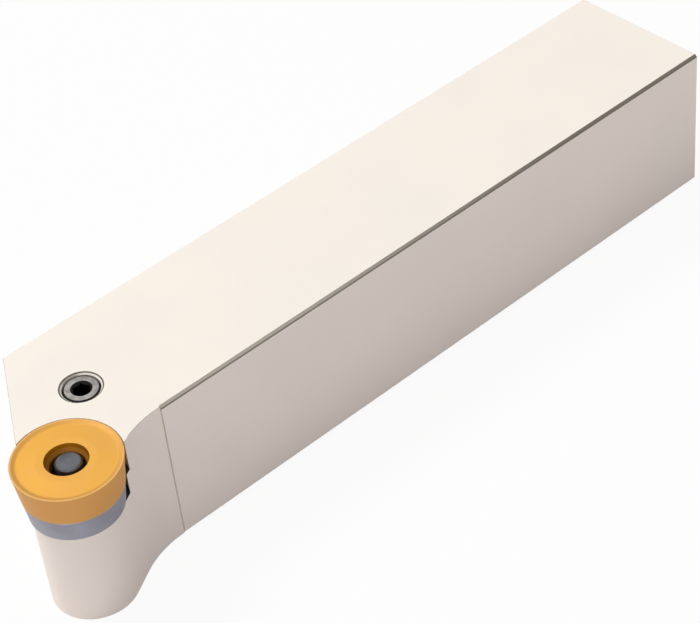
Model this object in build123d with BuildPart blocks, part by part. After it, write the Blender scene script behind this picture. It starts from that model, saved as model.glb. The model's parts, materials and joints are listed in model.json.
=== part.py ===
"""Right-hand turning tool holder with a lever-locked round insert.

Lengths are in millimetres and angles in degrees. The origin is at the rear end of the shank, in the
middle of its width, on its base. +X points to the head, +Y to the cutting side and +Z up.
"""

from math import asin, cos, degrees, radians, sin, sqrt, tan
import os

from build123d import *

# Shank
overall_length = 170.0
shank_width = 32.0
shank_height = 32.0
long_edge_chamfer = 0.55
end_edge_break = 0.25

# Head
edge_overhang = 8.0
neck_step = 0.25
neck_flat_length = 0.5
neck_curve_radius = 20.0
head_face_angle = 30.0
nose_setback = 0.44

# Insert
insert_diameter = 20.0
insert_thickness = 6.35
flank_angle = 7.0
insert_bore = 6.5
insert_mouth = 8.0
insert_mouth_lip = 0.25
insert_mouth_depth = 1.6
insert_hub_diameter = 11.0
edge_land = 0.35
chip_groove_slope = 0.7
chip_groove_depth = 0.3
chip_groove_blend = 1.2
insert_base_chamfer = 0.3
cutting_edge_hone = 0.05

# Shim
shim_thickness = 4.76
shim_inset = 0.05
shim_hole = 8.5
shim_edge_chamfer = 0.2

# Pocket
pocket_clearance = 0.1
shim_clearance = 0.1
pocket_relief = 0.2
pocket_ledge_drop = 0.35

# Shim sleeve
sleeve_wall = 0.8
sleeve_fit = 0.05
sleeve_depth_in_body = 3.6
sleeve_below_insert = 0.5
sleeve_slit = 1.2
sleeve_edge_chamfer = 0.2

# Clamp screw
screw_distance = 18.0
thread_diameter = 8.0
thread_pitch = 1.0
thread_fit = 0.05
screw_recess = 0.35
screw_end_bevel = 0.35
screw_mouth_chamfer = 0.45
screw_groove_diameter = 4.4
screw_foot_thickness = 1.75
socket_across_flats = 3.0
socket_depth = 4.0
socket_lead_in = 0.27
socket_turn = 12.5

# Clamp lever
lever_pivot_depth = 18.0
lever_contact_height = 2.35
lever_head_diameter = 5.2
lever_head_top_diameter = 5.0
lever_head_bevel = 0.35
lever_head_length = 5.4
lever_top_below_edge = 1.1
lever_neck_diameter = 4.6
lever_neck_start = 4.5
lever_heel_diameter = 6.6
lever_heel_drop = 2.3
lever_heel_shoulder_angle = 35.0
lever_arm_thickness = 4.0
lever_arm_root_width = 5.8
lever_arm_tip_width = 4.8
lever_arm_edge_round = 0.5

# Running room around the lever
lever_play_locked = 0.05
lever_play_released = 0.2
heel_fit = 0.2
arm_side_room = 0.1
arm_top_room = 1.2
arm_groove_room = 0.15
arm_root_room = 0.2
screw_foot_room = 0.6

# Insert and shim share one taper, and the nose below them is set back from the shim
flank_slope = tan(radians(flank_angle))
insert_radius = insert_diameter / 2
insert_base_radius = insert_radius - insert_thickness * flank_slope
groove_bottom_radius = insert_radius - edge_land - chip_groove_slope
shim_top_radius = insert_base_radius - shim_inset
shim_base_radius = shim_top_radius - shim_thickness * flank_slope
nose_radius = shim_base_radius - nose_setback

insert_x = overall_length - insert_radius
insert_y = shank_width / 2 + edge_overhang - insert_radius
insert_base_z = shank_height - insert_thickness
seat_z = insert_base_z - shim_thickness

# The lever pulls the insert back into the pocket, towards the screw
up = Vector(0, 0, 1)
pull_angle = 225
pull = Vector(cos(radians(pull_angle)), sin(radians(pull_angle)), 0)
lever_hinge_line = pull.cross(up)
insert_foot = Vector(insert_x, insert_y, 0)
screw_foot = insert_foot + pull * screw_distance
insert_axis = Axis(insert_foot, up)
screw_axis = Axis(screw_foot, up)

sleeve_outer_radius = shim_hole / 2 - sleeve_fit
sleeve_inner_radius = sleeve_outer_radius - sleeve_wall
sleeve_base_z = seat_z - sleeve_depth_in_body
sleeve_top_z = insert_base_z - sleeve_below_insert

# The engaged thread is drawn at the core of the tapped hole
screw_radius = (thread_diameter - thread_pitch) / 2
screw_hole_radius = screw_radius + thread_fit
screw_top_z = shank_height - screw_recess
screw_foot_radius = screw_radius + screw_foot_room

# Heights on the lever are counted from its pivot, along the lever
pivot_z = shank_height - lever_pivot_depth
head_contact = insert_base_z + lever_contact_height - pivot_z
head_top = shank_height - lever_top_below_edge - pivot_z
head_base = head_top - lever_head_length

# The lever leans towards the screw until its head bears on the insert's bore
bore_room = (insert_bore - lever_head_diameter) / 2
lever_lean = asin((bore_room - lever_play_locked) / head_contact)
lever_back_lean = asin((bore_room - lever_play_released) / head_contact)
arm_reach = screw_distance - screw_groove_diameter / 2 - arm_root_room
arm_drop = arm_reach * sin(lever_lean)
arm_lift = arm_reach * sin(lever_back_lean)

groove_middle_z = pivot_z - arm_drop
groove_height = lever_arm_thickness + 2 * arm_groove_room
groove_base_z = groove_middle_z - groove_height / 2
groove_top_z = groove_middle_z + groove_height / 2
screw_base_z = groove_base_z - screw_foot_thickness

lever_hole_radius = lever_heel_diameter / 2 + heel_fit
slot_width = lever_arm_root_width + 2 * arm_side_room
slot_roof_z = pivot_z + lever_arm_thickness / 2 + arm_top_room


def plan_direction(angle):
    """Unit vector in plan, at an angle in degrees from +X."""
    return Vector(cos(radians(angle)), sin(radians(angle)), 0)


def half_section_plane(foot, height):
    """Upright plane for a turned piece's half section, with local X along +X and local Y up."""
    return Plane(foot + up * height, x_dir=(1, 0, 0), z_dir=(0, -1, 0))


def along_pull(distance):
    """Location on the base, at a distance from the insert's axis towards the screw, X along the pull."""
    point = insert_foot + pull * distance
    return Location((point.X, point.Y, 0), (0, 0, pull_angle))


# Plan of the head: both its flat faces are tangent to the round nose
front_tangent = insert_foot + plan_direction(-head_face_angle) * nose_radius
neck_tangent = insert_foot + plan_direction(90 + head_face_angle) * nose_radius
nose_tip = insert_foot - pull * nose_radius
face_slope = tan(radians(head_face_angle))
back_y = -shank_width / 2
neck_side_y = shank_width / 2 - neck_step
back_corner_x = front_tangent.X - (front_tangent.Y - back_y) * face_slope
neck_corner_x = neck_tangent.X - (neck_tangent.Y - neck_side_y) / face_slope
neck_curve_start_x = neck_corner_x - neck_curve_radius * tan(radians(head_face_angle / 2))
neck_start_x = neck_curve_start_x - neck_flat_length


with BuildPart() as holder_body:
    with BuildSketch(Plane.YZ) as shank_section:
        with Locations((0, shank_height / 2)):
            Rectangle(shank_width, shank_height)
        cutting_side_corners = shank_section.vertices().group_by(Axis.X)[-1]
        chamfer(cutting_side_corners, long_edge_chamfer)
    extrude(amount=neck_start_x)

    with BuildSketch():
        with BuildLine():
            FilletPolyline(
                (neck_start_x, neck_side_y),
                (neck_corner_x, neck_side_y),
                (neck_tangent.X, neck_tangent.Y),
                radius=neck_curve_radius,
            )
            ThreePointArc(neck_tangent, nose_tip, front_tangent)
            Polyline(
                (front_tangent.X, front_tangent.Y),
                (back_corner_x, back_y),
                (neck_start_x, back_y),
                (neck_start_x, neck_side_y),
            )
        make_face()
    extrude(amount=shank_height)

    back_edges = holder_body.edges().filter_by(Axis.X).group_by(Axis.Y)[0]
    chamfer(back_edges, long_edge_chamfer)
    rear_edges = holder_body.faces().sort_by(Axis.X)[0].edges()
    chamfer(rear_edges, end_edge_break)

    # Pocket: a step for the insert and a narrower one for the shim, both fitting close only at the pull
    with BuildSketch(Plane.XY.offset(insert_base_z - pocket_ledge_drop)):
        with Locations(along_pull(-pocket_relief)):
            Circle(insert_radius + pocket_clearance + pocket_relief)
    extrude(amount=insert_thickness + pocket_ledge_drop, mode=Mode.SUBTRACT)
    with BuildSketch(Plane.XY.offset(seat_z)):
        with Locations(along_pull(-pocket_relief)):
            Circle(shim_top_radius + shim_clearance + pocket_relief)
    extrude(amount=shim_thickness, mode=Mode.SUBTRACT)

    # Bore for the sleeve, and the lever's hole through the nose
    with BuildSketch(Plane.XY.offset(sleeve_base_z)):
        with Locations(along_pull(0)):
            Circle(shim_hole / 2)
    extrude(amount=sleeve_depth_in_body, mode=Mode.SUBTRACT)
    with BuildSketch():
        with Locations(along_pull(0)):
            Circle(lever_hole_radius)
    extrude(amount=sleeve_base_z, mode=Mode.SUBTRACT)

    # Tapped hole for the screw, chamfered at its mouth
    with BuildSketch():
        with Locations(along_pull(screw_distance)):
            Circle(screw_hole_radius)
    extrude(amount=shank_height, mode=Mode.SUBTRACT)
    round_edges = holder_body.edges().filter_by(GeomType.CIRCLE)
    screw_mouth = round_edges.sort_by_distance(screw_foot + up * shank_height)[0]
    chamfer(screw_mouth, screw_mouth_chamfer)

    # Slot in the base for the lever's arm, wide enough at its end for the screw's foot
    with BuildSketch():
        with Locations(along_pull(screw_distance / 2)):
            SlotCenterToCenter(screw_distance, slot_width)
        with Locations(along_pull(screw_distance)):
            Circle(screw_foot_radius)
    extrude(amount=slot_roof_z, mode=Mode.SUBTRACT)


with BuildPart() as insert:
    with BuildSketch(half_section_plane(insert_foot, insert_base_z)) as insert_section:
        with BuildLine():
            Polyline(
                (insert_bore / 2, insert_base_chamfer),
                (insert_bore / 2 + insert_base_chamfer, 0),
                (insert_base_radius, 0),
                (insert_radius, insert_thickness),
                (insert_radius - edge_land, insert_thickness),
                (groove_bottom_radius, insert_thickness - chip_groove_depth),
                (insert_hub_diameter / 2, insert_thickness),
                (insert_mouth / 2, insert_thickness),
                (insert_mouth / 2 - insert_mouth_lip, insert_thickness - insert_mouth_depth / 2),
                (insert_bore / 2, insert_thickness - insert_mouth_depth),
                close=True,
            )
        make_face()
        groove_bottom = (groove_bottom_radius, insert_thickness - chip_groove_depth)
        fillet(insert_section.vertices().sort_by_distance(groove_bottom)[0], chip_groove_blend)
        fillet(insert_section.vertices().sort_by(Axis.X)[-1], cutting_edge_hone)
    revolve(axis=insert_axis)


with BuildPart() as shim:
    with BuildSketch(half_section_plane(insert_foot, seat_z)) as shim_section:
        with BuildLine():
            Polyline(
                (shim_hole / 2, 0),
                (shim_base_radius, 0),
                (shim_top_radius, shim_thickness),
                (shim_hole / 2, shim_thickness),
                close=True,
            )
        make_face()
        chamfer(shim_section.vertices(), shim_edge_chamfer)
    revolve(axis=insert_axis)


with BuildPart() as shim_sleeve:
    with BuildSketch(Plane.XY.offset(sleeve_base_z)):
        with Locations(along_pull(0)):
            Circle(sleeve_outer_radius)
            Circle(sleeve_inner_radius, mode=Mode.SUBTRACT)
    extrude(amount=sleeve_top_z - sleeve_base_z)
    outer_rims = shim_sleeve.edges().filter_by(GeomType.CIRCLE).sort_by(SortBy.RADIUS)[-2:]
    chamfer(outer_rims, sleeve_edge_chamfer)
    # The slit faces away from the screw
    with BuildSketch(Plane.XY.offset(sleeve_base_z)):
        with Locations(along_pull(-sleeve_outer_radius)):
            Rectangle(3 * sleeve_wall, sleeve_slit)
    extrude(amount=sleeve_top_z - sleeve_base_z, mode=Mode.SUBTRACT)


with BuildPart() as clamp_screw:
    with BuildSketch(half_section_plane(screw_foot, 0)):
        with BuildLine():
            Polyline(
                (0, screw_base_z),
                (screw_radius - screw_end_bevel, screw_base_z),
                (screw_radius, screw_base_z + screw_end_bevel),
                (screw_radius, groove_base_z),
                (screw_groove_diameter / 2, groove_base_z),
                (screw_groove_diameter / 2, groove_top_z),
                (screw_radius, groove_top_z),
                (screw_radius, screw_top_z - screw_end_bevel),
                (screw_radius - screw_end_bevel, screw_top_z),
                (0, screw_top_z),
                close=True,
            )
        make_face()
    revolve(axis=screw_axis)

    # Hexagon socket with a drilled bottom and a lead-in cone at its mouth
    socket_half_flats = socket_across_flats / 2
    socket_half_corners = socket_half_flats / cos(radians(30))
    socket_floor_z = screw_top_z - socket_depth
    drill_point = socket_half_flats * tan(radians(30))
    lead_in = socket_half_corners - socket_half_flats + socket_lead_in
    with BuildSketch(Plane.XY.offset(socket_floor_z)):
        with Locations(along_pull(screw_distance)):
            RegularPolygon(socket_half_flats, 6, major_radius=False, rotation=socket_turn)
    extrude(amount=socket_depth, mode=Mode.SUBTRACT)
    with BuildSketch(half_section_plane(screw_foot, 0)):
        with BuildLine():
            Polyline(
                (0, socket_floor_z - drill_point),
                (socket_half_flats, socket_floor_z),
                (socket_half_flats, screw_top_z - lead_in),
                (socket_half_flats + lead_in, screw_top_z),
                (0, screw_top_z),
                close=True,
            )
        make_face()
    revolve(axis=screw_axis, mode=Mode.SUBTRACT)


with BuildPart() as clamp_lever:
    pivot = insert_foot + up * pivot_z
    lever_line = up * cos(lever_lean) + pull * sin(lever_lean)
    arm_line = pull * cos(lever_lean) - up * sin(lever_lean)
    heel_radius = lever_heel_diameter / 2
    heel_foot = (sqrt(heel_radius**2 - lever_heel_drop**2), -lever_heel_drop)
    shoulder_angle = radians(lever_heel_shoulder_angle)
    heel_shoulder = (heel_radius * cos(shoulder_angle), heel_radius * sin(shoulder_angle))
    head_shoulder = (lever_head_top_diameter / 2, head_top - lever_head_bevel)
    with BuildSketch(Plane(pivot, x_dir=arm_line, z_dir=lever_hinge_line)):
        with BuildLine():
            Line((0, -lever_heel_drop), heel_foot)
            ThreePointArc(heel_foot, (heel_radius, 0), heel_shoulder)
            Polyline(
                heel_shoulder,
                (lever_neck_diameter / 2, lever_neck_start),
                (lever_neck_diameter / 2, head_base),
            )
            ThreePointArc(
                (lever_neck_diameter / 2, head_base),
                (lever_head_diameter / 2, head_contact),
                head_shoulder,
            )
            Polyline(
                head_shoulder,
                (lever_head_top_diameter / 2 - lever_head_bevel, head_top),
                (0, head_top),
                (0, -lever_heel_drop),
            )
        make_face()
    revolve(axis=Axis(pivot, lever_line))

    # Arm, tapered in plan, with a round tip that enters the screw's groove
    with BuildSketch(Plane(pivot, x_dir=arm_line, z_dir=lever_line)):
        Circle(lever_arm_root_width / 2)
        with Locations((arm_reach - lever_arm_tip_width / 2, 0)):
            Circle(lever_arm_tip_width / 2)
        make_hull()
    extrude(amount=lever_arm_thickness / 2, both=True)
    arm_end = pivot + arm_line * arm_reach
    tip_rims = clamp_lever.edges().filter_by(GeomType.CIRCLE).sort_by_distance(arm_end)[:2]
    fillet(tip_rims, lever_arm_edge_round)


holder_body.part.label = "holder_body"
insert.part.label = "insert"
shim.part.label = "shim"
shim_sleeve.part.label = "shim_sleeve"
clamp_screw.part.label = "clamp_screw"
clamp_lever.part.label = "clamp_lever"

os.makedirs("parts", exist_ok=True)
export_step(holder_body.part, "parts/holder_body.step")
export_step(insert.part, "parts/insert.step")
export_step(shim.part, "parts/shim.step")
export_step(shim_sleeve.part, "parts/shim_sleeve.step")
export_step(clamp_screw.part, "parts/clamp_screw.step")
export_step(clamp_lever.part, "parts/clamp_lever.step")

print(f"insert axis {insert_x:.3f}, {insert_y:.3f}, lever pivot height {pivot_z:.3f}")
print(f"screw axis {screw_foot.X:.3f}, {screw_foot.Y:.3f}")
print(f"lever travel {degrees(lever_lean + lever_back_lean):.4f} degrees")
print(f"screw travel {arm_drop + arm_lift:.4f} mm")
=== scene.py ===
"""Looks of a right-hand turning tool holder with a lever-locked round insert.

Lengths are in metres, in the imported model's frame: the origin is at the rear end of the shank, in the
middle of its width, on its base, with +X to the head, +Y to the cutting side and +Z up. Sizes of the object's
own forms are named in millimetres, as on a drawing, and MM turns them into metres.
"""

import json
import logging
import math
from dataclasses import dataclass
from enum import IntEnum
from typing import Any

import bmesh
import bpy
from mathutils import Matrix, Vector

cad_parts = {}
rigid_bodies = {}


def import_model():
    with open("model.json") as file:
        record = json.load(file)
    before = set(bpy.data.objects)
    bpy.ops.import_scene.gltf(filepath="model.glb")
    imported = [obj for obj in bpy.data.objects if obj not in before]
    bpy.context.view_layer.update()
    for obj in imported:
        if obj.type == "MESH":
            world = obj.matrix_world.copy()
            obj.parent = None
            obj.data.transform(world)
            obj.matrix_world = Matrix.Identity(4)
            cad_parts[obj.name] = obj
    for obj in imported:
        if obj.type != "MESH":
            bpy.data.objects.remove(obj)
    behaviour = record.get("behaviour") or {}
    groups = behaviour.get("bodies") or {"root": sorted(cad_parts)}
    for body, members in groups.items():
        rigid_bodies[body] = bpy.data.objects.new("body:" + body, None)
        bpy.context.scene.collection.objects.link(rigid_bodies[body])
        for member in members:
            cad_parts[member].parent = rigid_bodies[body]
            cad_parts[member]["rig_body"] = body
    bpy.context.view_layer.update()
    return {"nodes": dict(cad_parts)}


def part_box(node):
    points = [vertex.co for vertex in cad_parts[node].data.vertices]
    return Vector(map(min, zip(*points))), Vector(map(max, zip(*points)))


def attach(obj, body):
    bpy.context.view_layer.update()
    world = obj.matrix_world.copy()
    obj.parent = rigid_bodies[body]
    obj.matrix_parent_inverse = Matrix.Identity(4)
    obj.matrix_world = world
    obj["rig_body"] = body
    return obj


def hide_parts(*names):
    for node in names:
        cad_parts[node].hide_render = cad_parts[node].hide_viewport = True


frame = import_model()

MM = 0.001
FULL_TURN = 2 * math.pi
HEXAGON_SIDES = 6
# Points of a CAD node or a turned piece that are closer than this are one point.
MERGE_DISTANCE = 0.0005 * MM
# A rounded corner's arc has at least this many steps, each this many degrees at most.
FEWEST_ARC_STEPS = 2
ARC_STEP = 12
# Levels of a noise pattern between which a finish passes from its first look to its second.
CLOUD_BAND = (0.35, 0.65)
GRAIN_BAND = (0.3, 0.7)
WHITE = (1.0, 1.0, 1.0)
LOG = logging.getLogger("turning_tool_holder")

Colour = tuple[float, float, float]
# A place in metres, or a share for each of X, Y and Z.
Triple = tuple[float, float, float]
# The two ends of a range, or a bump's depth in metres and its strength.
Span = tuple[float, float]
Socket = bpy.types.NodeSocket


def opaque(colour: Colour) -> tuple[float, float, float, float]:
    """Adds a full alpha to a linear colour."""
    return (*colour, 1.0)


class Graph:
    """Adds nodes to a tree and joins them with short calls."""

    def __init__(self, tree: bpy.types.NodeTree) -> None:
        """Takes a tree and empties it.

        Args:
            tree: The shader or geometry tree to fill.
        """
        self.tree = tree
        tree.nodes.clear()

    def add(
        self, kind: str, *values: Any, named: dict[str, Any] | None = None, **settings: Any
    ) -> bpy.types.Node:
        """Adds one node.

        Args:
            kind: The node's type.
            values: Constants or sockets for its inputs, in order. None leaves an input as it is.
            named: Constants or sockets for its inputs, by name.
            settings: The node's own properties.

        Returns:
            The new node.
        """
        node = self.tree.nodes.new(kind)
        for key, value in settings.items():
            setattr(node, key, value)
        pairs = [*enumerate(values), *(named or {}).items()]
        for key, value in pairs:
            self.feed(node.inputs[key], value)
        return node

    def feed(self, socket: Socket, value: Any) -> None:
        """Gives an input a constant, or joins it to another node's output.

        Args:
            socket: The input.
            value: A constant, a socket, or None to leave the input as it is.
        """
        if isinstance(value, bpy.types.NodeSocket):
            self.tree.links.new(value, socket)
        elif value is not None:
            socket.default_value = value

    def math(self, operation: str, *values: Any) -> Socket:
        """Adds a Math node and returns its result."""
        return self.add("ShaderNodeMath", *values, operation=operation).outputs[0]

    def whole(self, operation: str, *values: Any) -> Socket:
        """Adds an Integer Math node and returns its result."""
        return self.add("FunctionNodeIntegerMath", *values, operation=operation).outputs[0]

    def ramp(
        self, value: Socket, low: float, high: float, start: float = 0.0, end: float = 1.0
    ) -> Socket:
        """Maps a value smoothly from one range to another.

        Args:
            value: The value that is mapped.
            low: The value that gives start.
            high: The value that gives end.
            start: The result at low.
            end: The result at high.

        Returns:
            The mapped value, held between start and end.
        """
        kind = "ShaderNodeMapRange"
        return self.add(kind, value, low, high, start, end, interpolation_type="SMOOTHSTEP").outputs[0]

    def blend(self, factor: Any, first: Any, second: Any) -> Socket:
        """Mixes two colours.

        Args:
            factor: The second colour's share.
            first: A colour or a socket.
            second: A colour or a socket.

        Returns:
            The mixed colour.
        """
        node = self.add("ShaderNodeMix", factor, data_type="RGBA")
        self.feed(node.inputs[6], opaque(first) if isinstance(first, tuple) else first)
        self.feed(node.inputs[7], opaque(second) if isinstance(second, tuple) else second)
        return node.outputs[2]


class ShaderGraph(Graph):
    """A material's node tree, with the object's own coordinates as its only place."""

    def __init__(self, name: str) -> None:
        """Makes a new material.

        Args:
            name: The material's name.
        """
        self.material = bpy.data.materials.new(name)
        self.material.use_nodes = True
        super().__init__(self.material.node_tree)
        place = self.add("ShaderNodeTexCoord")
        self.place = place.outputs["Object"]
        self.facing = self.add("ShaderNodeSeparateXYZ", place.outputs["Normal"]).outputs

    def noise(self, size: float, detail: float = 2.0, stretch: Triple | None = None) -> Socket:
        """Adds a noise pattern.

        Args:
            size: The size of its marks, in metres.
            detail: How many finer layers it has.
            stretch: How much longer its marks are along X, Y and Z.

        Returns:
            The noise's value, about 0 to 1.
        """
        place = self.place
        if stretch is not None:
            squeeze = tuple(1 / share for share in stretch)
            place = self.add("ShaderNodeMapping", place, None, None, squeeze).outputs[0]
        named = {"Vector": place, "Scale": 1 / size, "Detail": detail}
        return self.add("ShaderNodeTexNoise", named=named).outputs[0]

    def either(self, band: Span, pattern: Socket, first: Any, second: Any) -> Socket:
        """Mixes two colours by a noise pattern.

        Args:
            band: The pattern's levels that give the first and the second colour.
            pattern: The noise.
            first: A colour or a socket.
            second: A colour or a socket.

        Returns:
            The mixed colour.
        """
        return self.blend(self.ramp(pattern, *band), first, second)

    def axis_distance(self, axis: Vector) -> Socket:
        """Measures how far the surface is from an upright axis.

        Args:
            axis: The axis's foot.

        Returns:
            The distance, in metres.
        """
        in_plan, foot = (1.0, 1.0, 0.0), (axis.x, axis.y, 0.0)
        flat = self.add("ShaderNodeVectorMath", self.place, in_plan, operation="MULTIPLY").outputs[0]
        return self.add("ShaderNodeVectorMath", flat, foot, operation="DISTANCE").outputs["Value"]

    def bumps(self, *layers: tuple[Socket, float, float]) -> Socket | None:
        """Stacks bump layers.

        Args:
            layers: Each layer's height pattern, depth in metres, and strength.

        Returns:
            The bumped normal.
        """
        normal = None
        for height, depth, strength in layers:
            named = {"Strength": strength, "Distance": depth, "Height": height, "Normal": normal}
            normal = self.add("ShaderNodeBump", named=named).outputs[0]
        return normal

    def finish(
        self, colour: Socket, roughness: Socket, metallic: Any, normal: Socket | None
    ) -> bpy.types.Material:
        """Ends the material in one surface shader.

        Args:
            colour: The base colour.
            roughness: The roughness.
            metallic: The metal's share, or a socket.
            normal: The bumped normal.

        Returns:
            The finished material.
        """
        named = {"Base Color": colour, "Roughness": roughness, "Metallic": metallic, "Normal": normal}
        surface = self.add("ShaderNodeBsdfPrincipled", named=named)
        self.add("ShaderNodeOutputMaterial", surface.outputs[0])
        return self.material


@dataclass(frozen=True)
class PlatedSteel:
    """Satin plate on a ground steel holder, with dark chamfers along the shank."""

    plate: Colour = (0.910, 0.840, 0.760)
    cloud: Colour = (0.890, 0.826, 0.748)
    wall: Colour = (0.945, 0.840, 0.780)
    wall_cloud: Colour = (0.925, 0.828, 0.765)
    chamfer_front: Colour = (0.56, 0.50, 0.43)
    chamfer_rear: Colour = (0.22, 0.185, 0.145)
    chamfer_rim: Colour = (0.17, 0.145, 0.12)
    # worn is painted shade: the dark ring at the mouth of the screw's hole.
    worn: Colour = (0.06, 0.045, 0.03)
    # shade is painted shade for the pocket's sunken floors.
    shade: Colour = (0.02, 0.018, 0.016)
    upright_band: Span = (0.6, 0.4)
    chamfer_band: Span = (0.40, 0.48)
    level_from: float = 0.9
    chamfer_run: Span = (30 * MM, 130 * MM)
    middle_height: float = 16.0 * MM
    rim_rise: Span = (15.50 * MM, 15.72 * MM)
    sunken_below: float = 31.5 * MM
    pocket_radius: float = 10.4 * MM
    mouth_ring: Span = (3.82 * MM, 4.12 * MM)
    ring_fade: float = 0.06 * MM
    cloud_size: float = 22 * MM
    grain_size: float = 0.35 * MM
    grain_bump: Span = (0.02 * MM, 0.25)
    lay_size: float = 0.5 * MM
    lay_stretch: float = 40.0
    lay_bump: Span = (0.01 * MM, 0.2)
    metal_share: float = 0.10
    roughness: Span = (0.64, 0.74)

    def material(self) -> bpy.types.Material:
        """Builds the finish.

        Returns:
            The material.
        """
        g = ShaderGraph("plated_steel_satin")
        cloud = g.noise(self.cloud_size)
        grain = g.noise(self.grain_size)
        lay = g.noise(self.lay_size, stretch=(self.lay_stretch, 1.0, 1.0))
        spot = g.add("ShaderNodeSeparateXYZ", g.place).outputs
        rise = g.math("ABSOLUTE", g.facing["Z"])
        plate = g.either(CLOUD_BAND, cloud, self.plate, self.cloud)
        wall = g.either(CLOUD_BAND, cloud, self.wall, self.wall_cloud)
        colour = g.blend(g.ramp(rise, *self.upright_band), plate, wall)
        colour = self.dark_chamfers(g, spot, rise, colour)
        colour = self.painted_floor_shade(g, spot, colour)
        colour = self.painted_mouth_shade(g, colour)
        roughness = g.ramp(lay, *GRAIN_BAND, *self.roughness)
        normal = g.bumps((grain, *self.grain_bump), (lay, *self.lay_bump))
        return g.finish(colour, roughness, self.metal_share, normal)

    def dark_chamfers(self, g: ShaderGraph, spot: Any, rise: Socket, colour: Socket) -> Socket:
        """Adds the chamfers' dark colour, which is lighter towards the head, darker towards the rear and
        darker still along the lower rim.

        Args:
            g: The shader graph.
            spot: The surface's X, Y and Z.
            rise: How level the surface is.
            colour: The colour so far.

        Returns:
            The colour with the chamfers.
        """
        side = g.math("ABSOLUTE", g.facing["Y"])
        chamfer = g.ramp(g.math("MULTIPLY", side, rise), *self.chamfer_band)
        # Lighter towards the head, darker towards the rear, and darker still along the lower rim.
        chamfer_tone = g.blend(g.ramp(spot["X"], *self.chamfer_run), self.chamfer_rear, self.chamfer_front)
        from_middle = g.math("ABSOLUTE", g.math("SUBTRACT", spot["Z"], self.middle_height))
        chamfer_tone = g.blend(g.ramp(from_middle, *self.rim_rise), self.chamfer_rim, chamfer_tone)
        return g.blend(chamfer, colour, chamfer_tone)

    def painted_floor_shade(self, g: ShaderGraph, spot: Any, colour: Socket) -> Socket:
        """Paints shade on the pocket's sunken floors, which lie in shadow under the insert.

        Args:
            g: The shader graph.
            spot: The surface's X, Y and Z.
            colour: The colour so far.

        Returns:
            The colour with the painted floor shade.
        """
        sunken = g.math("LESS_THAN", spot["Z"], self.sunken_below)
        floor = g.math("MULTIPLY", g.math("GREATER_THAN", g.facing["Z"], self.level_from), sunken)
        in_pocket = g.math("LESS_THAN", g.axis_distance(axis_of("insert")), self.pocket_radius)
        # Painted shade: the pocket's upward floors go near black where the insert shadows them.
        return g.blend(g.math("MULTIPLY", floor, in_pocket), colour, self.shade)

    def painted_mouth_shade(self, g: ShaderGraph, colour: Socket) -> Socket:
        """Paints shade as a dark line around the mouth of the screw's hole, where its edge and the gap around
        the screw lie in shadow.

        Args:
            g: The shader graph.
            colour: The colour so far.

        Returns:
            The colour with the line.
        """
        from_screw = g.axis_distance(axis_of("clamp_screw"))
        inside, outside = self.mouth_ring
        within = g.math("LESS_THAN", from_screw, outside)
        ring = g.math("MULTIPLY", g.ramp(from_screw, inside, inside + self.ring_fade), within)
        # Painted shade: the ring stands in for the shadow at the mouth's edge and in the gap.
        return g.blend(ring, colour, self.worn)


@dataclass(frozen=True)
class EdgeShadeLine:
    """Painted shade: dark steel on the holder's broken edges, standing in for the thin shadow lines along
    them, mottled by wear.
    """

    body: Colour = (0.125, 0.110, 0.090)
    worn: Colour = (0.22, 0.20, 0.17)
    wear_size: float = 2.5 * MM
    wear_band: Span = (0.40, 0.62)
    wear_bump: Span = (0.01 * MM, 0.3)
    metal_share: float = 0.4
    roughness: Span = (0.40, 0.55)

    def material(self) -> bpy.types.Material:
        """Builds the finish.

        Returns:
            The material.
        """
        g = ShaderGraph("plated_steel_edge_shade")
        wear = g.noise(self.wear_size, detail=4.0)
        # Painted shade: the dark colour draws shadow lines along the edges; the wear noise mottles it.
        colour = g.either(self.wear_band, wear, self.body, self.worn)
        roughness = g.ramp(wear, *GRAIN_BAND, *self.roughness)
        return g.finish(colour, roughness, self.metal_share, g.bumps((wear, *self.wear_bump)))


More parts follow.
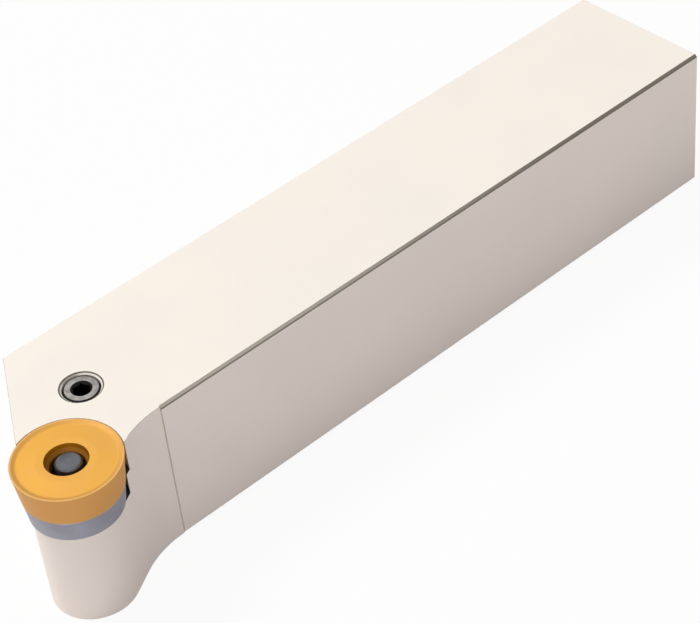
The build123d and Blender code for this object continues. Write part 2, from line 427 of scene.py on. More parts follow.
@dataclass(frozen=True)
class CoatedCarbide:
    """Gold-coloured hard coating on sintered carbide, browner on the ground flank."""

    face: Colour = (0.73, 0.370, 0.060)
    warm: Colour = (0.75, 0.380, 0.046)
    # groove is darker than face as painted shade on the chip groove's slope.
    groove: Colour = (0.62, 0.305, 0.048)
    land_highlight: Colour = (0.70, 0.390, 0.110)
    flank: Colour = (0.68, 0.355, 0.112)
    # bore: a browner, thinner coating in the hole, darkened further as painted shade on the hole's wall.
    bore: Colour = (0.33, 0.125, 0.001)
    flank_band: Span = (0.55, 0.35)
    groove_start: float = 8.75 * MM
    groove_fade: float = 0.35 * MM
    land_start: float = 9.66 * MM
    bore_end: float = 3.99 * MM
    tint_size: float = 9 * MM
    grain_size: float = 0.12 * MM
    grain_bump: Span = (0.008 * MM, 0.3)
    lay_size: float = 0.15 * MM
    lay_stretch: float = 30.0
    lay_bump: Span = (0.006 * MM, 0.25)
    face_metal: float = 0.3
    flank_metal: float = 0.85
    roughness: Span = (0.52, 0.62)

    def material(self) -> bpy.types.Material:
        """Builds the finish.

        Returns:
            The material.
        """
        g = ShaderGraph("coated_carbide_gold")
        tint = g.noise(self.tint_size)
        grain = g.noise(self.grain_size)
        lay = g.noise(self.lay_size, stretch=(self.lay_stretch, self.lay_stretch, 1.0))
        flank = g.ramp(g.math("ABSOLUTE", g.facing["Z"]), *self.flank_band)
        top = g.either(CLOUD_BAND, tint, self.face, self.warm)
        reach = g.axis_distance(axis_of("insert"))
        grooved = g.ramp(reach, self.groove_start, self.groove_start + self.groove_fade)
        # Painted shade: the chip groove's slope takes a darker colour.
        top = g.blend(grooved, top, self.groove)
        # Painted highlight: the edge land is paler than the face.
        top = g.blend(g.math("GREATER_THAN", reach, self.land_start), top, self.land_highlight)
        colour = g.blend(flank, top, self.flank)
        # The hole's wall: thinner coating, with painted shade.
        colour = g.blend(g.math("LESS_THAN", reach, self.bore_end), colour, self.bore)
        roughness = g.ramp(grain, *GRAIN_BAND, *self.roughness)
        metal = g.ramp(flank, 0.0, 1.0, self.face_metal, self.flank_metal)
        normal = g.bumps((grain, *self.grain_bump), (lay, *self.lay_bump))
        return g.finish(colour, roughness, metal, normal)


@dataclass(frozen=True)
class GroundCarbide:
    """Blue-grey carbide, fine ground all over."""

    body: Colour = (0.35, 0.35, 0.41)
    shade: Colour = (0.31, 0.305, 0.36)
    tint_size: float = 6 * MM
    lay_size: float = 0.12 * MM
    lay_stretch: float = 30.0
    lay_bump: Span = (0.006 * MM, 0.3)
    metal_share: float = 0.85
    roughness: Span = (0.38, 0.48)

    def material(self) -> bpy.types.Material:
        """Builds the finish.

        Returns:
            The material.
        """
        g = ShaderGraph("ground_carbide_grey")
        tint = g.noise(self.tint_size)
        lay = g.noise(self.lay_size, stretch=(self.lay_stretch, self.lay_stretch, 1.0))
        colour = g.either(CLOUD_BAND, tint, self.body, self.shade)
        roughness = g.ramp(lay, *GRAIN_BAND, *self.roughness)
        return g.finish(colour, roughness, self.metal_share, g.bumps((lay, *self.lay_bump)))


@dataclass(frozen=True)
class ToolSteel:
    """Hardened steel of a small part, with a fine grain and slight stains.

    Outside ground_ring, which holds two distances from the screw's axis, the steel is near black: dark in the
    socket, and painted shade over the end bevel and thread, where the gap around the screw lies in shadow.
    """

    name: str
    body: Colour
    shade: Colour
    ground_ring: Span | None = None
    socket_dark_and_gap_shade: Colour = (0.008, 0.007, 0.006)
    tint_size: float = 1.5 * MM
    grain_size: float = 0.15 * MM
    grain_bump: Span = (0.01 * MM, 0.3)
    metal_share: float = 0.8
    roughness: Span = (0.35, 0.50)

    def material(self) -> bpy.types.Material:
        """Builds the finish.

        Returns:
            The material.
        """
        g = ShaderGraph(self.name)
        tint = g.noise(self.tint_size, detail=3.0)
        grain = g.noise(self.grain_size)
        colour = g.either(CLOUD_BAND, tint, self.body, self.shade)
        if self.ground_ring is not None:
            inner, outer = self.ground_ring
            reach = g.axis_distance(axis_of("clamp_screw"))
            nearer = g.math("LESS_THAN", reach, inner)
            farther = g.math("GREATER_THAN", reach, outer)
            # Near black in the socket; beyond the outer distance this is painted shade over the screw's end
            # in its shadowed gap.
            colour = g.blend(g.math("MAXIMUM", nearer, farther), colour, self.socket_dark_and_gap_shade)
        roughness = g.ramp(grain, *GRAIN_BAND, *self.roughness)
        return g.finish(colour, roughness, self.metal_share, g.bumps((grain, *self.grain_bump)))


class RowForm(IntEnum):
    """How the outline of one row of a turned piece differs from a circle."""

    ROUND = 0
    THREAD = 1
    HEXAGON = 2


@dataclass(frozen=True)
class Corner:
    """A corner of a half section, in millimetres.

    The form is that of the rows from this corner to the next one, and a step is the spacing of those rows.
    """

    radius: float
    height: float
    rounding: float = 0.0
    form: RowForm = RowForm.ROUND
    step: float = 0.0


@dataclass(frozen=True)
class Row:
    """One row of a turned piece, in millimetres."""

    radius: float
    height: float
    form: RowForm


def rounded_corner(before: Corner, corner: Corner, after: Corner) -> list[Row]:
    """Rounds a corner of a half section with an arc.

    Args:
        before: The corner before it.
        corner: The corner.
        after: The corner after it.

    Returns:
        The rows along the arc, or the corner itself where it is sharp.
    """
    if corner.rounding == 0.0:
        return [Row(corner.radius, corner.height, corner.form)]
    point = Vector((corner.radius, corner.height))
    back = (Vector((before.radius, before.height)) - point).normalized()
    ahead = (Vector((after.radius, after.height)) - point).normalized()
    half_angle = back.angle(ahead) / 2
    centre = point + (back + ahead).normalized() * (corner.rounding / math.sin(half_angle))
    reach = corner.rounding / math.tan(half_angle)
    start = point + back * reach - centre
    end = point + ahead * reach - centre
    sweep = start.angle(end)
    steps = max(FEWEST_ARC_STEPS, math.ceil(math.degrees(sweep) / ARC_STEP))
    rows = []
    for i in range(steps + 1):
        share = i / steps
        arm = (start * math.sin((1 - share) * sweep) + end * math.sin(share * sweep)) / math.sin(sweep)
        place = centre + arm
        rows.append(Row(place.x, place.y, RowForm.ROUND))
    return rows


def section_rows(corners: list[Corner], closed: bool) -> list[Row]:
    """Turns a half section's corners into the rows of a turned piece.

    Args:
        corners: The corners, with the metal on the left of the way round.
        closed: True for a ring, false for a piece whose ends meet the axis.

    Returns:
        The rows in order. A ring's first row comes again at the end.
    """
    rows: list[Row] = []
    for i, corner in enumerate(corners):
        after = corners[(i + 1) % len(corners)]
        rows += rounded_corner(corners[i - 1], corner, after)
        if corner.step:
            run = math.hypot(after.radius - corner.radius, after.height - corner.height)
            count = math.ceil(run / corner.step)
            for k in range(1, count):
                share = k / count
                radius = corner.radius + (after.radius - corner.radius) * share
                height = corner.height + (after.height - corner.height) * share
                rows.append(Row(radius, height, corner.form))
            rows.append(Row(after.radius, after.height, corner.form))
    return rows + rows[:1] if closed else rows


@dataclass(frozen=True)
class Lathe:
    """Turns a half section into a mesh, with a thread or a hexagon where its rows ask for one.

    Sizes are in metres. The hexagon's first flat faces flat_angle, and the thread is right-handed.
    """

    axis: Vector
    crest: float = 0.0
    root: float = 0.0
    pitch: float = 1.0
    half_flats: float = 0.0
    flat_angle: float = 0.0
    segments: int = 192
    sharp_angle: float = math.radians(32)

    INPUTS = {
        "Segments": "NodeSocketInt",
        "Axis": "NodeSocketVector",
        "Crest Radius": "NodeSocketFloat",
        "Root Radius": "NodeSocketFloat",
        "Pitch": "NodeSocketFloat",
        "Half Flats": "NodeSocketFloat",
        "Flat Angle": "NodeSocketFloat",
        "Sharp Angle": "NodeSocketFloat",
        "Finish": "NodeSocketMaterial",
    }

    def tree(self) -> bpy.types.NodeTree:
        """Builds the geometry tree that turns the section, or returns it if it is there.

        Returns:
            The geometry tree.
        """
        made = bpy.data.node_groups.get("turned_piece")
        if made is not None:
            return made
        tree = bpy.data.node_groups.new("turned_piece", "GeometryNodeTree")
        tree.interface.new_socket("Section", in_out="INPUT", socket_type="NodeSocketGeometry")
        for name, kind in self.INPUTS.items():
            tree.interface.new_socket(name, in_out="INPUT", socket_type=kind)
        tree.interface.new_socket("Piece", in_out="OUTPUT", socket_type="NodeSocketGeometry")
        g = Graph(tree)
        given = g.add("NodeGroupInput").outputs
        section = given["Section"]
        rows = g.add("GeometryNodeAttributeDomainSize", section, component="MESH").outputs["Point Count"]
        columns = g.whole("ADD", given["Segments"], 1)
        grid = g.add("GeometryNodeMeshGrid", 1.0, 1.0, rows, columns).outputs["Mesh"]
        index = g.add("GeometryNodeInputIndex").outputs[0]
        row = g.whole("DIVIDE_FLOOR", index, columns)
        column = g.whole("FLOORED_MODULO", index, columns)
        turn = g.math("MULTIPLY", g.math("DIVIDE", column, given["Segments"]), -1.0)
        angle = g.math("MULTIPLY", turn, FULL_TURN)
        place = g.add("GeometryNodeInputPosition").outputs[0]
        at_row = g.add("ShaderNodeSeparateXYZ", self.sampled(g, section, place, row, "FLOAT_VECTOR")).outputs
        radius, height = at_row["X"], at_row["Z"]
        named = g.add("GeometryNodeInputNamedAttribute", "row_form", data_type="FLOAT").outputs[0]
        form = self.sampled(g, section, named, row, "FLOAT")
        threaded = self.threaded_radius(g, given, radius, height, turn)
        hexagonal = self.hexagonal_radius(g, given, radius, angle)
        margin = 0.5
        for kind, cut in ((RowForm.THREAD, threaded), (RowForm.HEXAGON, hexagonal)):
            fits = g.math("COMPARE", form, float(kind), margin)
            radius = g.add("GeometryNodeSwitch", fits, radius, cut, input_type="FLOAT").outputs[0]
        across = g.math("MULTIPLY", radius, g.math("COSINE", angle))
        along = g.math("MULTIPLY", radius, g.math("SINE", angle))
        turned = g.add("ShaderNodeCombineXYZ", across, along, height).outputs[0]
        moved = g.add("ShaderNodeVectorMath", turned, given["Axis"], operation="ADD").outputs[0]
        skin = g.add("GeometryNodeSetPosition", grid, None, moved).outputs[0]
        closed = g.add("GeometryNodeMergeByDistance", skin, named={"Distance": MERGE_DISTANCE}).outputs[0]
        smooth = g.add("GeometryNodeSetShadeSmooth", closed, None, True, domain="FACE").outputs[0]
        bend = g.add("GeometryNodeInputMeshEdgeAngle").outputs["Unsigned Angle"]
        sharp = g.math("GREATER_THAN", bend, given["Sharp Angle"])
        creased = g.add("GeometryNodeSetShadeSmooth", smooth, sharp, False, domain="EDGE").outputs[0]
        real = g.add("GeometryNodeRealizeInstances", creased).outputs[0]
        dressed = g.add("GeometryNodeSetMaterial", real, None, given["Finish"]).outputs[0]
        g.add("NodeGroupOutput", dressed)
        return tree

    @staticmethod
    def sampled(g: Graph, section: Socket, value: Socket, row: Socket, kind: str) -> Socket:
        """Adds the node that reads a value at one point of the section.

        Args:
            g: The geometry graph.
            section: The half section.
            value: The value that is read.
            row: The point's number.
            kind: The value's data type.

        Returns:
            The value there.
        """
        sampler = "GeometryNodeSampleIndex"
        return g.add(sampler, section, value, row, data_type=kind, domain="POINT").outputs[0]

    @staticmethod
    def threaded_radius(g: Graph, given: Any, radius: Socket, height: Socket, turn: Socket) -> Socket:
        """Adds the nodes that cut a thread.

        Args:
            g: The geometry graph.
            given: The tree's inputs.
            radius: The row's radius.
            height: The row's height.
            turn: The column's place, in turns.

        Returns:
            The radius of the threaded surface.
        """
        crest_share, root_start = 0.125, 0.8
        rise = g.math("DIVIDE", height, given["Pitch"])
        phase = g.math("FRACT", g.math("SUBTRACT", rise, turn))
        groove = g.math("ABSOLUTE", g.math("MULTIPLY_ADD", phase, 2.0, -1.0))
        share = g.add("ShaderNodeMapRange", groove, crest_share, root_start, 0.0, 1.0).outputs[0]
        depth = g.math("SUBTRACT", given["Crest Radius"], given["Root Radius"])
        cut = g.math("SUBTRACT", given["Crest Radius"], g.math("MULTIPLY", depth, share))
        return g.math("MINIMUM", radius, cut)

    @staticmethod
    def hexagonal_radius(g: Graph, given: Any, radius: Socket, angle: Socket) -> Socket:
        """Adds the nodes that broach a hexagon.

        Args:
            g: The geometry graph.
            given: The tree's inputs.
            radius: The row's radius, as a cone's at the socket's mouth.
            angle: The column's angle.

        Returns:
            The radius of the hexagonal wall, or the row's own where that is larger.
        """
        sector = FULL_TURN / HEXAGON_SIDES
        side = g.math("DIVIDE", g.math("SUBTRACT", angle, given["Flat Angle"]), sector)
        local = g.math("SUBTRACT", g.math("FRACT", g.math("ADD", side, 0.5)), 0.5)
        slant = g.math("COSINE", g.math("MULTIPLY", local, sector))
        return g.math("MAXIMUM", radius, g.math("DIVIDE", given["Half Flats"], slant))

    def turn(self, name: str, rows: list[Row], finish: bpy.types.Material) -> bpy.types.Object:
        """Turns a section into a finished object.

        Args:
            name: The piece's name.
            rows: The half section's rows.
            finish: The piece's material.

        Returns:
            The piece, as a plain mesh.
        """
        mesh = bpy.data.meshes.new(name + "_section")
        links = [(i, i + 1) for i in range(len(rows) - 1)]
        mesh.from_pydata([(row.radius * MM, 0.0, row.height * MM) for row in rows], links, [])
        forms = mesh.attributes.new("row_form", "FLOAT", "POINT")
        forms.data.foreach_set("value", [float(row.form) for row in rows])
        blank = bpy.data.objects.new(name + "_section", mesh)
        bpy.context.scene.collection.objects.link(blank)
        tree = self.tree()
        modifier = blank.modifiers.new("turning", "NODES")
        modifier.node_group = tree
        values = {
            "Segments": self.segments,
            "Axis": self.axis,
            "Crest Radius": self.crest,
            "Root Radius": self.root,
            "Pitch": self.pitch,
            "Half Flats": self.half_flats,
            "Flat Angle": self.flat_angle,
            "Sharp Angle": self.sharp_angle,
            "Finish": finish,
        }
        for item in tree.interface.items_tree:
            if item.name in values:
                modifier[item.identifier] = values[item.name]
        return settled(blank, name)


def settled(blank: bpy.types.Object, name: str) -> bpy.types.Object:
    """Turns an object with modifiers into a plain mesh object and deletes the first.

    Args:
        blank: The object with its modifiers.
        name: The new object's name.

    Returns:
        The new object, at the origin.
    """
    graph = bpy.context.evaluated_depsgraph_get()
    mesh = bpy.data.meshes.new_from_object(blank.evaluated_get(graph))
    mesh.name = name
    piece = bpy.data.objects.new(name, mesh)
    bpy.context.scene.collection.objects.link(piece)
    bpy.data.objects.remove(blank)
    return piece


@dataclass(frozen=True)
class BrokenEdges:
    """A machined copy of a CAD node: its flat faces made whole again and its sharp edges broken."""

    width: float
    edge_finish: bpy.types.Material | None = None
    steps: int = 2
    least_angle: float = math.radians(28)
    sliver: float = 0.0015 * MM
    flat_angle: float = math.radians(0.5)
    flat_weight: int = 100

    def copy(self, node: str, name: str, finish: bpy.types.Material) -> bpy.types.Object:
        """Copies a CAD node and breaks its edges.

        Args:
            node: The CAD node's name.
            name: The copy's name.
            finish: The copy's material.

        Returns:
            The copy, as a plain mesh that replaces the node.
        """
        mesh = self.whole_faces(node, name + "_blank")
        mesh.materials.append(finish)
        if self.edge_finish is not None:
            mesh.materials.append(self.edge_finish)
        blank = bpy.data.objects.new(name + "_blank", mesh)
        bpy.context.scene.collection.objects.link(blank)
        bevel = blank.modifiers.new("broken_edges", "BEVEL")
        bevel.width = self.width
        bevel.segments = self.steps
        bevel.limit_method = "ANGLE"
        bevel.angle_limit = self.least_angle
        bevel.use_clamp_overlap = True
        bevel.miter_outer = "MITER_ARC"
        bevel.material = -1 if self.edge_finish is None else 1
        weld = blank.modifiers.new("slivers_closed", "WELD")
        weld.merge_threshold = self.sliver
        weigh = blank.modifiers.new("flat_faces_first", "WEIGHTED_NORMAL")
        weigh.weight = self.flat_weight
        return settled(blank, name)

    def whole_faces(self, node: str, name: str) -> bpy.types.Mesh:
        """Copies a CAD node's mesh and joins the triangles of each flat face.

        Args:
            node: The CAD node's name.
            name: The new mesh's name.

        Returns:
            The new mesh, smooth and with no material.
        """
        shape = bmesh.new()
        shape.from_mesh(frame["nodes"][node].data)
        bmesh.ops.remove_doubles(shape, verts=shape.verts, dist=MERGE_DISTANCE)
        bmesh.ops.dissolve_limit(
            shape,
            angle_limit=self.flat_angle,
            verts=shape.verts,
            edges=shape.edges,
            use_dissolve_boundaries=False,
        )
        mesh = bpy.data.meshes.new(name)
        shape.to_mesh(mesh)
        shape.free()
        for packed in ("custom_normal", "sharp_edge", "sharp_face"):
            if packed in mesh.attributes:
                mesh.attributes.remove(mesh.attributes[packed])
        mesh.shade_smooth()
        return mesh


def seat(piece: bpy.types.Object, node: str) -> bpy.types.Object:
    """Puts a piece in the place of its CAD node.

    Args:
        piece: The finished piece.
        node: The CAD node that it stands for.

    Returns:
        The piece, riding on the node's body.
    """
    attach(piece, frame["nodes"][node]["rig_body"])
    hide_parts(node)
    return piece


def axis_of(node: str) -> Vector:
    """Gives the foot of an upright round node's axis, on the base plane."""
    low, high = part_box(node)
    return Vector(((low.x + high.x) / 2, (low.y + high.y) / 2, 0.0))


def height_of(node: str) -> Span:
    """Gives a node's lowest and highest point, in millimetres."""
    low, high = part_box(node)
    return low.z / MM, high.z / MM


@dataclass
class HolderBody:
    """The shank and head, one piece of plated steel."""

    edge_break: float = 0.12 * MM
    plated_end: float = 4 * MM
    plated_back: float = 4 * MM
    plated_pocket: float = 11 * MM
    head_length: float = 22 * MM
    finish: PlatedSteel = PlatedSteel()
    edge_finish: EdgeShadeLine = EdgeShadeLine()

    def build(self) -> bpy.types.Object:
        """Builds the dressed body.

        Returns:
            The finished piece.
        """
        breaker = BrokenEdges(self.edge_break, self.edge_finish.material())
        piece = breaker.copy("holder_body", "holder_body_dressed", self.finish.material())
        self.plate_rear_edges(piece.data)
        return seat(piece, "holder_body")

    def plate_rear_edges(self, mesh: bpy.types.Mesh) -> None:
        """Gives the plate's finish back to the edges at the rear end, along the back and around the pocket,
        so that these have no painted edge shade.

        Args:
            mesh: The body's mesh, with its broken edges in the second material.
        """
        low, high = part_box("holder_body")
        pocket = axis_of("insert")
        for face in mesh.polygons:
            x, y, _ = face.center
            on_back = y < low.y + self.plated_back and x < high.x - self.head_length
            at_pocket = math.hypot(x - pocket.x, y - pocket.y) < self.plated_pocket
            if on_back or at_pocket or x < low.x + self.plated_end:
                face.material_index = 0


@dataclass
class CuttingInsert:
    """The round insert, with a dished chip groove, a countersunk hole and a tapered flank.

    Sizes are in millimetres.
    """

    diameter: float = 20.0
    flank_angle: float = 7.0
    bore: float = 6.5
    mouth: float = 8.0
    mouth_lip: float = 0.25
    mouth_depth: float = 1.6
    hub_diameter: float = 11.0
    edge_land: float = 0.35
    groove_slope: float = 0.7
    groove_depth: float = 0.3
    groove_blend: float = 1.2
    base_chamfer: float = 0.3
    hone: float = 0.05
    edge_rounding: float = 0.06
    land_rounding: float = 0.1
    hub_rounding: float = 1.5
    lip_rounding: float = 0.5
    throat_rounding: float = 0.3
    finish: CoatedCarbide = CoatedCarbide()

    def corners(self) -> list[Corner]:
        """Lists the corners of the half section, from the foot of the bore outwards.

        Returns:
            The corners, counter-clockwise.
        """
        base, top = height_of("insert")
        radius = self.diameter / 2
        base_radius = radius - (top - base) * math.tan(math.radians(self.flank_angle))
        return [
            Corner(self.bore / 2, base + self.base_chamfer),
            Corner(self.bore / 2 + self.base_chamfer, base),
            Corner(base_radius, base, self.edge_rounding),
            Corner(radius, top, self.hone),
            Corner(radius - self.edge_land, top, self.land_rounding),
            Corner(radius - self.edge_land - self.groove_slope, top - self.groove_depth, self.groove_blend),
            Corner(self.hub_diameter / 2, top, self.hub_rounding),
            Corner(self.mouth / 2, top, self.edge_rounding),
            Corner(self.mouth / 2 - self.mouth_lip, top - self.mouth_depth / 2, self.lip_rounding),
            Corner(self.bore / 2, top - self.mouth_depth, self.throat_rounding),
        ]

    def build(self) -> bpy.types.Object:
        """Builds the dressed insert.

        Returns:
            The finished piece.
        """
        rows = section_rows(self.corners(), closed=True)
        piece = Lathe(axis_of("insert")).turn("insert_dressed", rows, self.finish.material())
        return seat(piece, "insert")


@dataclass
class Shim:
    """The seat plate under the insert. Sizes are in millimetres."""

    hole: float = 8.5
    top_diameter: float = 18.3406
    flank_angle: float = 7.0
    edge_chamfer: float = 0.2
    chamfer_rounding: float = 0.05
    seat_play: float = 0.01
    finish: GroundCarbide = GroundCarbide()

    def corners(self) -> list[Corner]:
        """Lists the corners of the half section, from the foot of the hole outwards.

        Returns:
            The corners, counter-clockwise, with a chamfer at each.
        """
        base, top = height_of("shim")
        # A hair of room keeps the insert's base clear of the shim as it turns.
        top -= self.seat_play
        slope = math.tan(math.radians(self.flank_angle))
        outer = self.top_diameter / 2
        inner = self.hole / 2
        foot = outer - (top - base) * slope
        cut = self.edge_chamfer
        lean = cut * slope
        soft = self.chamfer_rounding
        return [
            Corner(inner, base + cut, soft),
            Corner(inner + cut, base, soft),
            Corner(foot - cut, base, soft),
            Corner(foot + lean, base + cut, soft),
            Corner(outer - lean, top - cut, soft),
            Corner(outer - cut, top, soft),
            Corner(inner + cut, top, soft),
            Corner(inner, top - cut, soft),
        ]

    def build(self) -> bpy.types.Object:
        """Builds the dressed shim.

        Returns:
            The finished piece.
        """
        rows = section_rows(self.corners(), closed=True)
        piece = Lathe(axis_of("shim")).turn("shim_dressed", rows, self.finish.material())
        return seat(piece, "shim")


@dataclass
class ShimSleeve:
    """The slit spring sleeve that pins the shim to the body."""

    edge_break: float = 0.04 * MM
    finish: ToolSteel = ToolSteel(
        "spring_steel_drawn", body=(0.42, 0.41, 0.40), shade=(0.34, 0.33, 0.33)
    )

    def build(self) -> bpy.types.Object:
        """Builds the dressed sleeve.

        Returns:
            The finished piece.
        """
        breaker = BrokenEdges(self.edge_break)
        piece = breaker.copy("shim_sleeve", "shim_sleeve_dressed", self.finish.material())
        return seat(piece, "shim_sleeve")


@dataclass
class ClampLever:
    """The bell-crank lever whose head shows in the insert's hole."""

    edge_break: float = 0.05 * MM
    finish: ToolSteel = ToolSteel(
        "lever_steel_blasted", body=(0.130, 0.136, 0.150), shade=(0.105, 0.110, 0.122)
    )

    def build(self) -> bpy.types.Object:
        """Builds the dressed lever.

        Returns:
            The finished piece.
        """
        breaker = BrokenEdges(self.edge_break)
        piece = breaker.copy("clamp_lever", "clamp_lever_dressed", self.finish.material())
        return seat(piece, "clamp_lever")


@dataclass
class ClampScrew:
    """The screw with a hexagon socket and the groove that holds the lever's arm. Sizes are in millimetres."""

    crest_radius: float = 3.5
    root_radius: float = 2.9
    pitch: float = 1.0
    foot_thickness: float = 1.75
    end_bevel: float = 0.35
    end_rounding: float = 0.05
    groove_radius: float = 2.2
    groove_height: float = 4.3
    groove_rounding: float = 0.2
    socket_across_flats: float = 3.0
    socket_depth: float = 4.0
    socket_lead_in: float = 0.27
    socket_flat_angle: float = 27.5
    thread_step: float = 0.07
    lead_in_step: float = 0.08
    flat_step: float = 0.6
    segments: int = 144
    finish: ToolSteel = ToolSteel(
        "screw_steel_turned",
        body=(0.36, 0.335, 0.315),
        shade=(0.23, 0.22, 0.21),
        ground_ring=(2.02 * MM, 3.12 * MM),
    )

    def corners(self) -> list[Corner]:
        """Lists the corners of the half section, from the middle of the foot to the bottom of the socket.

        Returns:
            The corners, counter-clockwise.
        """
        base, top = height_of("clamp_screw")
        crest, bevel = self.crest_radius, self.end_bevel
        groove_base = base + self.foot_thickness
        groove_top = groove_base + self.groove_height
        half_flats = self.socket_across_flats / 2
        half_sector = math.pi / HEXAGON_SIDES
        half_corners = half_flats / math.cos(half_sector)
        lead_in = half_corners - half_flats + self.socket_lead_in
        floor = top - self.socket_depth
        drill_point = half_flats * math.tan(half_sector)
        thread, hexagon = RowForm.THREAD, RowForm.HEXAGON
        return [
            Corner(0.0, base),
            Corner(crest - bevel, base, self.end_rounding),
            Corner(crest, base + bevel, form=thread, step=self.thread_step),
            Corner(crest, groove_base),
            Corner(self.groove_radius, groove_base, self.groove_rounding),
            Corner(self.groove_radius, groove_top, self.groove_rounding),
            Corner(crest, groove_top, form=thread, step=self.thread_step),
            Corner(crest, top - bevel),
            Corner(crest - bevel, top, self.end_rounding),
            Corner(half_flats + lead_in, top, form=hexagon, step=self.lead_in_step),
            Corner(half_flats, top - lead_in, form=hexagon, step=self.flat_step),
            Corner(half_flats, floor),
            Corner(0.0, floor - drill_point),
        ]

    def build(self) -> bpy.types.Object:
        """Builds the dressed screw.

        Returns:
            The finished piece.
        """
        lathe = Lathe(
            axis_of("clamp_screw"),
            crest=self.crest_radius * MM,
            root=self.root_radius * MM,
            pitch=self.pitch * MM,
            half_flats=self.socket_across_flats / 2 * MM,
            flat_angle=math.radians(self.socket_flat_angle),
            segments=self.segments,
        )
        rows = section_rows(self.corners(), closed=False)
        piece = lathe.turn("clamp_screw_dressed", rows, self.finish.material())
        return seat(piece, "clamp_screw")


@dataclass(frozen=True)
class Lamp:
    """A square soft lamp. Its place and the length of its side are in metres."""

    name: str
    place: Triple
    size: float
    level: float

    def hang(self, target: Vector) -> None:
        """Hangs the lamp.

        Its level is the share of a white surface's colour that it gives at the target.

        Args:
            target: The point that it faces.
        """
        lamp = bpy.data.lights.new(self.name, "AREA")
        lamp.shape = "SQUARE"
        lamp.size = self.size
        away = Vector(self.place) - target
        lamp.energy = self.level * math.pi**2 * away.length_squared
        holder = bpy.data.objects.new(self.name, lamp)
        holder.location = self.place
        holder.rotation_euler = away.to_track_quat("Z", "Y").to_euler()
        bpy.context.scene.collection.objects.link(holder)


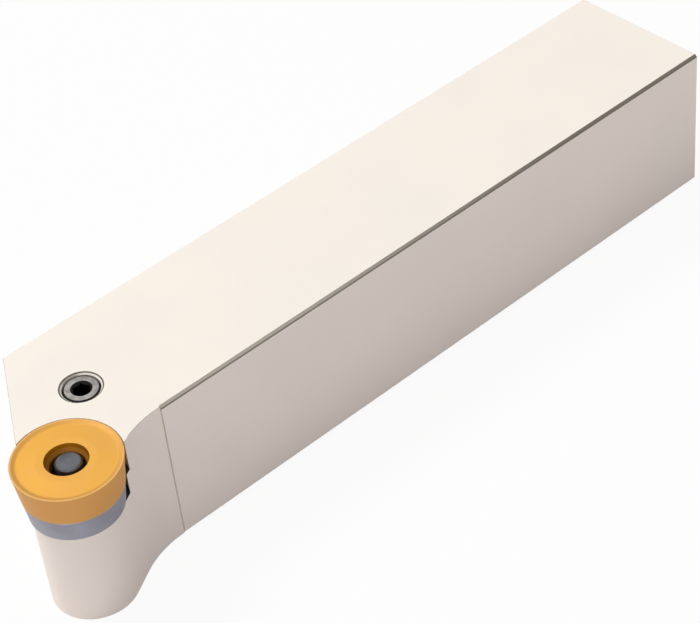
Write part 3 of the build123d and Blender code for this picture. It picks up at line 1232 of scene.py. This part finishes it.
@dataclass
class Studio:
    """A pale floor, a white surround and soft lamps. Lengths are in metres."""

    floor_size: float = 6.0
    floor_drop: float = 0.0001
    contact_length: float = 0.0005
    window_reach: float = 0.003
    floor_colour: Colour = (0.85, 0.85, 0.845)
    seen_glow: float = 0.92
    mirrored_glow: float = 0.10
    surround_level: float = 0.305
    target: Triple = (0.10, 0.0, 0.02)
    lamps: tuple[Lamp, ...] = (
        Lamp("lamp_behind", (0.78, -1.32, 2.15), size=1.1, level=0.64),
        Lamp("lamp_above", (-0.40, 0.10, 1.50), size=0.9, level=0.14),
        Lamp("lamp_head_side", (1.95, 1.28, 0.93), size=1.2, level=0.13),
    )

    @staticmethod
    def white_share(g: Graph, seen: float, mirrored: float) -> Socket:
        """Tells how much plain white each kind of ray sees.

        Args:
            g: The shader graph.
            seen: The share for camera rays.
            mirrored: The share for glossy and transmission rays.

        Returns:
            The share of plain white, which is 0 for all other rays.
        """
        path = g.add("ShaderNodeLightPath").outputs
        bounced = g.math("MAXIMUM", path["Is Glossy Ray"], path["Is Transmission Ray"])
        by_camera = g.math("MULTIPLY", path["Is Camera Ray"], seen)
        return g.math("MAXIMUM", by_camera, g.math("MULTIPLY", bounced, mirrored))

    def build(self) -> None:
        """Builds the floor, the surround and the lamps."""
        self.lay_floor()
        self.light_surround()
        for lamp in self.lamps:
            lamp.hang(Vector(self.target))

    def lay_floor(self) -> None:
        """Lays the floor.

        A window in it, hidden under the head, lets some light into the lever's slot for views from below.
        """
        half = self.floor_size / 2
        outline = [Vector((half, -half)), Vector((half, half)), Vector((-half, half)), Vector((-half, -half))]
        lever, screw = axis_of("insert").xy, axis_of("clamp_screw").xy
        along = (lever - screw).normalized() * self.window_reach
        across = along.orthogonal()
        front, rear = lever + along, screw - along
        window = [front - across, front + across, rear + across, rear - across]
        mesh = bpy.data.meshes.new("floor")
        sides = [(i, (i + 1) % 4, (i + 1) % 4 + 4, i + 4) for i in range(4)]
        mesh.from_pydata([(spot.x, spot.y, -self.floor_drop) for spot in outline + window], [], sides)
        mesh.materials.append(self.floor_material())
        floor = bpy.data.objects.new("floor", mesh)
        bpy.context.scene.collection.objects.link(floor)

    def floor_material(self) -> bpy.types.Material:
        """Builds the floor's material.

        Returns:
            The material, white to the camera but with part of the object's shadow, and clear from below.
        """
        material = bpy.data.materials.new("floor_pale")
        material.use_nodes = True
        g = Graph(material.node_tree)
        matte = g.add("ShaderNodeBsdfDiffuse", opaque(self.floor_colour)).outputs[0]
        white = g.add("ShaderNodeEmission", opaque(WHITE), 1.0).outputs[0]
        share = self.white_share(g, self.seen_glow, self.mirrored_glow)
        mixed = g.add("ShaderNodeMixShader", share, matte, white).outputs[0]
        clear = g.add("ShaderNodeBsdfTransparent").outputs[0]
        under = g.add("ShaderNodeNewGeometry").outputs["Backfacing"]
        reach = g.add("ShaderNodeLightPath").outputs["Ray Length"]
        # Rays from the faces that rest on the floor pass it, so that the underside has some light.
        see_through = g.math("MAXIMUM", under, g.math("LESS_THAN", reach, self.contact_length))
        one_sided = g.add("ShaderNodeMixShader", see_through, mixed, clear).outputs[0]
        g.add("ShaderNodeOutputMaterial", one_sided)
        return material

    def light_surround(self) -> None:
        """Makes the world white to the camera and to reflections, and a soft even light otherwise."""
        world = bpy.data.worlds.new("surround")
        world.use_nodes = True
        bpy.context.scene.world = world
        g = Graph(world.node_tree)
        strength = g.ramp(self.white_share(g, 1.0, 1.0), 0.0, 1.0, self.surround_level, 1.0)
        surround = g.add("ShaderNodeBackground", opaque(WHITE), strength).outputs[0]
        g.add("ShaderNodeOutputWorld", surround)


@dataclass
class ProductCamera:
    """The camera above the cutting side, looking back along the shank. Lengths are in metres."""

    place: Vector = Vector((0.28663, 0.25900, 0.29270))
    aim: Vector = Vector((0.10063, 0.02072, 0.03073))
    roll: float = math.radians(-6.5687)
    lens: float = 113.268
    sensor: float = 36.0
    nearest: float = 0.01
    farthest: float = 20.0

    def build(self) -> None:
        """Builds the camera and makes it the scene's own."""
        data = bpy.data.cameras.new("product_camera")
        data.sensor_width = self.sensor
        data.lens = self.lens
        data.clip_start = self.nearest
        data.clip_end = self.farthest
        camera = bpy.data.objects.new("product_camera", data)
        turn = (self.aim - self.place).to_track_quat("-Z", "Y").to_matrix().to_4x4()
        camera.matrix_world = Matrix.Translation(self.place) @ turn @ Matrix.Rotation(self.roll, 4, "Z")
        bpy.context.scene.collection.objects.link(camera)
        bpy.context.scene.camera = camera


def main() -> None:
    """Builds the studio and every piece."""
    logging.basicConfig(level=logging.INFO, format="%(name)s %(message)s")
    ProductCamera().build()
    Studio().build()
    parts = [HolderBody(), CuttingInsert(), Shim(), ShimSleeve(), ClampLever(), ClampScrew()]
    for part in parts:
        piece = part.build()
        LOG.info("%s: %d faces", piece.name, len(piece.data.polygons))
    bpy.context.scene.view_settings.view_transform = "Standard"


if __name__ == "__main__":
    main()
